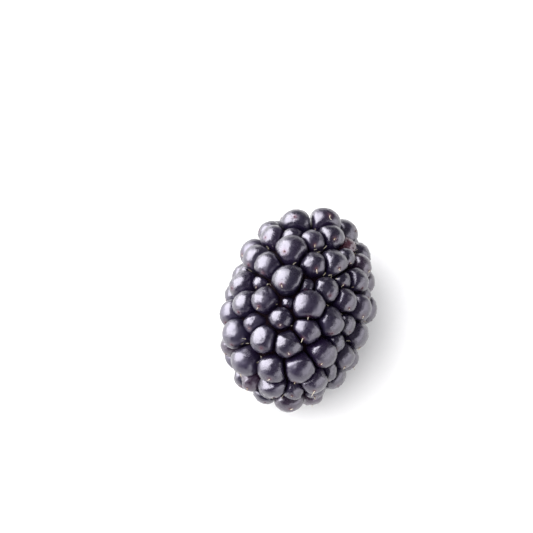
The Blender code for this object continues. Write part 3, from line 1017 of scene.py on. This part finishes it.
threads.add("NodeGroupOutput", inputs={"Geometry": tubes})

# %% Their finishes
def dried(name, pale, dark):
    material, paint = new_material(name)
    place = paint.add("ShaderNodeTexCoord", output="Object")
    flecks = noise(paint, place, 3800.0, 3.0)
    surface(
        paint,
        {
            "Base Color": flecks.smooth(0.35, 0.65).mix(pale, dark),
            "Roughness": 0.45 + flecks * 0.3,
            "Normal": bump(paint, flecks, 0.00002),
        },
    )
    return material


# Painted glints: the near-white pale of these two finishes stands in for bright specks in the gaps, on top
# of the dry threads' own tan.
golden_and_glint = dried("dried_style_and_glint", (0.80, 0.76, 0.66, 1), (0.42, 0.31, 0.15, 1))
straw_and_glint = dried("pale_hair_and_glint", (0.80, 0.77, 0.66, 1), (0.52, 0.44, 0.26, 1))
scar_crimson = dried("scar_crimson", (0.055, 0.007, 0.020, 1), (0.016, 0.003, 0.006, 1))

# %% Place them
STYLE_SHARE = 0.60
STYLE_SEED = 33
SHORTEST_STUB = 0.20  # of the longest style; most are stubs, and only a few are nearly whole
DOT_SINK = 0.00005

dot_points = seed_points("dot_points", scar_points - scar_normals * DOT_SINK, facing=scar_normals)
scar_dots = grow(
    "scar_dots",
    dot_points,
    dots,
    {"Width": 0.00018, "Height": 0.00010, "Variation": 0.8, "Finish": scar_crimson},
)
hangers = np.random.default_rng(STYLE_SEED)
holds_on = hangers.random(count) < STYLE_SHARE
lying = -straight_out * 0.55 + TIP_DIRECTION * 0.8 + hangers.normal(0, 0.55, (count, 3))
lying += scar_normals * 0.9
lying /= np.linalg.norm(lying, axis=1)[:, None]
style_points = seed_points(
    "style_points",
    scar_points[holds_on],
    facing=lying[holds_on],
    length=(SHORTEST_STUB + hangers.uniform(0, 1, count) ** 4 * 0.8)[holds_on],
)
styles = grow(
    "withered_styles",
    style_points,
    threads,
    {
        "Length": 0.0011,
        "Thickness": 0.00011,
        "Curl": 0.0022,
        "Lowest": (cad_low.x, cad_low.y, 0.0001),
        "Highest": tuple(cad_high),
        "Finish": golden_and_glint,
    },
)

# %% Hairs in the gaps
HAIR_SEED = 12
HAIR_COUNT = 60
HAIR_ROOM = 0.00016  # only gaps with more room than this between their drupelets show a hair
HAIR_ROOT = 0.0007  # how far out of the seat a hair starts
HAIR_SPREAD = 0.35
HAIR_LENGTHS = (0.3, 1.0)  # of the longest hair

downy = np.random.default_rng(HAIR_SEED)
gaps = onto_seat(golden_spiral(PLACES_TRIED) * SEAT_LONG)
gap_outward = outward(gaps)
gaps = gaps + aside(gaps) + berry_middle
room = (np.linalg.norm(gaps[:, None] - centres[None, :], axis=2) - radii).min(axis=1)
open_gaps = (room > HAIR_ROOM) & (gaps[:, 1] < plug_low.y) & (gaps[:, 2] > BED_LOWEST + 2 * HAIR_ROOT)
rooted = downy.choice(np.flatnonzero(open_gaps), HAIR_COUNT, replace=False)
hair_points = seed_points(
    "hair_points",
    gaps[rooted] + gap_outward[rooted] * HAIR_ROOT,
    facing=gap_outward[rooted] + downy.normal(0, HAIR_SPREAD, (HAIR_COUNT, 3)),
    length=downy.uniform(*HAIR_LENGTHS, HAIR_COUNT),
)
hairs = grow(
    "gap_hairs",
    hair_points,
    threads,
    {
        "Length": 0.0009,
        "Thickness": 0.00008,
        "Curl": 0.0009,
        "Lowest": (cad_low.x, cad_low.y, 0.0001),
        "Highest": tuple(cad_high),
        "Finish": straw_and_glint,
    },
)
for piece in (scar_dots, styles, hairs):
    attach(piece, "root")

# %% [markdown]
# ## Floor, light and camera
#
# A pale floor and a white sky make a light box. A gloss shows what stands round it, so the
# surroundings are built for the gloss: a window on the left gives every drupelet its satin
# highlight, a wider and dimmer curtain behind it softens the highlight's edge, and a low reflector
# on the right lifts the shaded side. These three light nothing else. A large panel of daylight,
# which the gloss doesn't show, casts the shadow. The sky is dimmer in the gloss too, so that the
# skin stays dark between its highlights. The camera looks down steeply with a long lens, as for
# a small thing on a table.

# %% Floor
FLOOR_RADIUS = 1.5
chalk, paint = new_material("pale_floor")
place = paint.add("ShaderNodeTexCoord", output="Object")
grain = noise(paint, place, 900.0, 3.0)
surface(
    paint,
    {
        "Base Color": grain.mix((0.83, 0.83, 0.845, 1), (0.86, 0.86, 0.87, 1)),
        "Roughness": 0.55 + grain * 0.1,
        "Normal": bump(paint, grain, 0.00002),
    },
)
floor_mesh = bpy.data.meshes.new("floor")
bm = bmesh.new()
bmesh.ops.create_circle(bm, cap_ends=True, segments=96, radius=FLOOR_RADIUS)
bm.to_mesh(floor_mesh)
bm.free()
floor_mesh.materials.append(chalk)
floor = bpy.data.objects.new("floor", floor_mesh)
bpy.context.scene.collection.objects.link(floor)


# %% Light
def direction(azimuth, elevation):
    """A unit vector: azimuth 0 is the berry's tip end and 90 its right, elevation is from the floor."""
    turn, rise = math.radians(azimuth), math.radians(elevation)
    return Vector((math.sin(turn) * math.cos(rise), -math.cos(turn) * math.cos(rise), math.sin(rise)))


def soft_panel(name, azimuth, elevation, distance, width, height, power, colour):
    """A rectangle of light that faces the berry; sizes and distance in metres, power in watts."""
    light = bpy.data.lights.new(name, "AREA")
    light.shape = "RECTANGLE"
    light.size, light.size_y = width, height
    light.energy = power
    light.color = colour
    panel = bpy.data.objects.new(name, light)
    bpy.context.scene.collection.objects.link(panel)
    away = direction(azimuth, elevation)
    panel.location = Vector(berry_middle) + away * distance
    panel.rotation_euler = away.to_track_quat("Z", "Y").to_euler()
    panel.visible_camera = False
    return panel


WINDOW_WHITE = (0.96, 0.96, 1.0)
CURTAIN_WHITE = (0.96, 0.95, 1.0)
DAY_WHITE = (1.0, 0.99, 0.98)

window = soft_panel("window", -108, 31, 0.60, width=0.92, height=0.80, power=15.4, colour=WINDOW_WHITE)
curtain = soft_panel("curtain", -106, 26, 0.62, width=1.20, height=1.20, power=14.0, colour=CURTAIN_WHITE)
daylight = soft_panel("daylight", -58, 52, 2.40, width=2.80, height=2.80, power=92.0, colour=DAY_WHITE)
reflector = soft_panel("reflector", 72, 14, 0.60, width=1.30, height=0.42, power=5.0, colour=CURTAIN_WHITE)
for panel in (window, curtain, reflector):
    panel.visible_diffuse = False
daylight.visible_glossy = False
SKY_STRENGTH = 0.94
SKY_IN_GLOSS = 0.10
sky = bpy.context.scene.world or bpy.data.worlds.new("sky")
bpy.context.scene.world = sky
sky.use_nodes = True
air = Graph(sky.node_tree)
mirrored = air.add("ShaderNodeLightPath", output="Is Glossy Ray")
strength = SKY_STRENGTH - mirrored * (SKY_STRENGTH - SKY_IN_GLOSS)
sky_inputs = {"Color": (1, 1, 1, 1), "Strength": strength}
background = air.add("ShaderNodeBackground", inputs=sky_inputs)
air.add("ShaderNodeOutputWorld", inputs={"Surface": background})
bpy.context.scene.view_settings.view_transform = "Standard"

# %% Camera
camera = bpy.data.objects.new("camera", bpy.data.cameras.new("camera"))
bpy.context.scene.collection.objects.link(camera)
CAMERA_LENS = 150  # long, as for a small thing seen from well away
CAMERA_AZIMUTH = 7
CAMERA_ELEVATION = 65
CAMERA_DISTANCE = 0.352
AIM_HEIGHT = 0.012
AIM_RIGHT = -0.0051
AIM_UP = 0.0070
camera.data.lens = CAMERA_LENS
camera.data.clip_start = 0.01
toward = direction(CAMERA_AZIMUTH, CAMERA_ELEVATION)
camera.rotation_euler = toward.to_track_quat("Z", "Y").to_euler()
turned = toward.to_track_quat("Z", "Y").to_matrix()
aim = Vector((0, 0, AIM_HEIGHT)) + turned @ Vector((AIM_RIGHT, AIM_UP, 0))
camera.location = aim + toward * CAMERA_DISTANCE
bpy.context.scene.camera = camera
